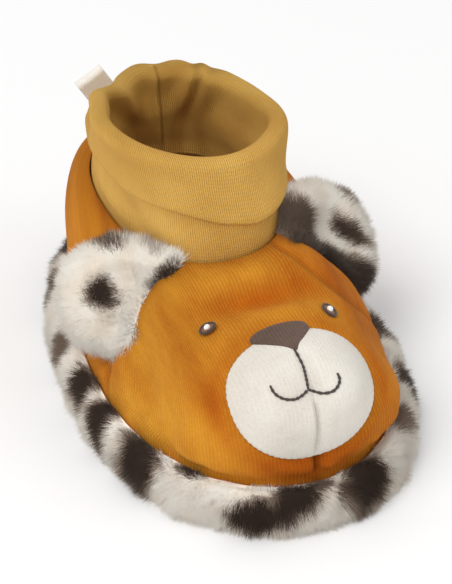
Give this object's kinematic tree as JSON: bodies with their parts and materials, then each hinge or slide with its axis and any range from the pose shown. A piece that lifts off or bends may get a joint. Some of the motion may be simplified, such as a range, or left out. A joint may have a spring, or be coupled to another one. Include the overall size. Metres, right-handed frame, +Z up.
{
  "type": "baby slipper",
  "caption": "Soft baby slipper with a stuffed animal face on the toe, plush ears, a plush-edged sole, a knitted ankle cuff and a ribbon loop at the heel",
  "frame": {"origin": "on the floor at the middle of the sole", "axes": "+Z up, the toe points along -Y and the heel along +Y, X across the sole"},
  "size_m": [0.069, 0.1158, 0.0605],
  "materials": {
    "suede_cloth": "rust-brown brushed cloth",
    "plush": "short plush, cream with dark brown leopard spots",
    "velour": "amber-orange velour with a fine rib",
    "jersey": "mustard cotton jersey",
    "white_velour": "white velour",
    "brown_velour": "grey-brown velour and thread",
    "ribbon": "cream woven ribbon",
    "tab_cloth": "rust-brown woven tab, bare"
  },
  "bodies": {
    "root": {"outsole": "suede_cloth", "plush_band": "plush", "insole": "suede_cloth", "upper": "velour", "cuff": "jersey", "muzzle": "white_velour", "nose": "brown_velour", "eye_left": "brown_velour", "eye_right": "brown_velour", "ear_left": "plush", "ear_right": "plush", "pull_loop": "ribbon", "side_tab": "tab_cloth"}
  },
  "joints": []
}
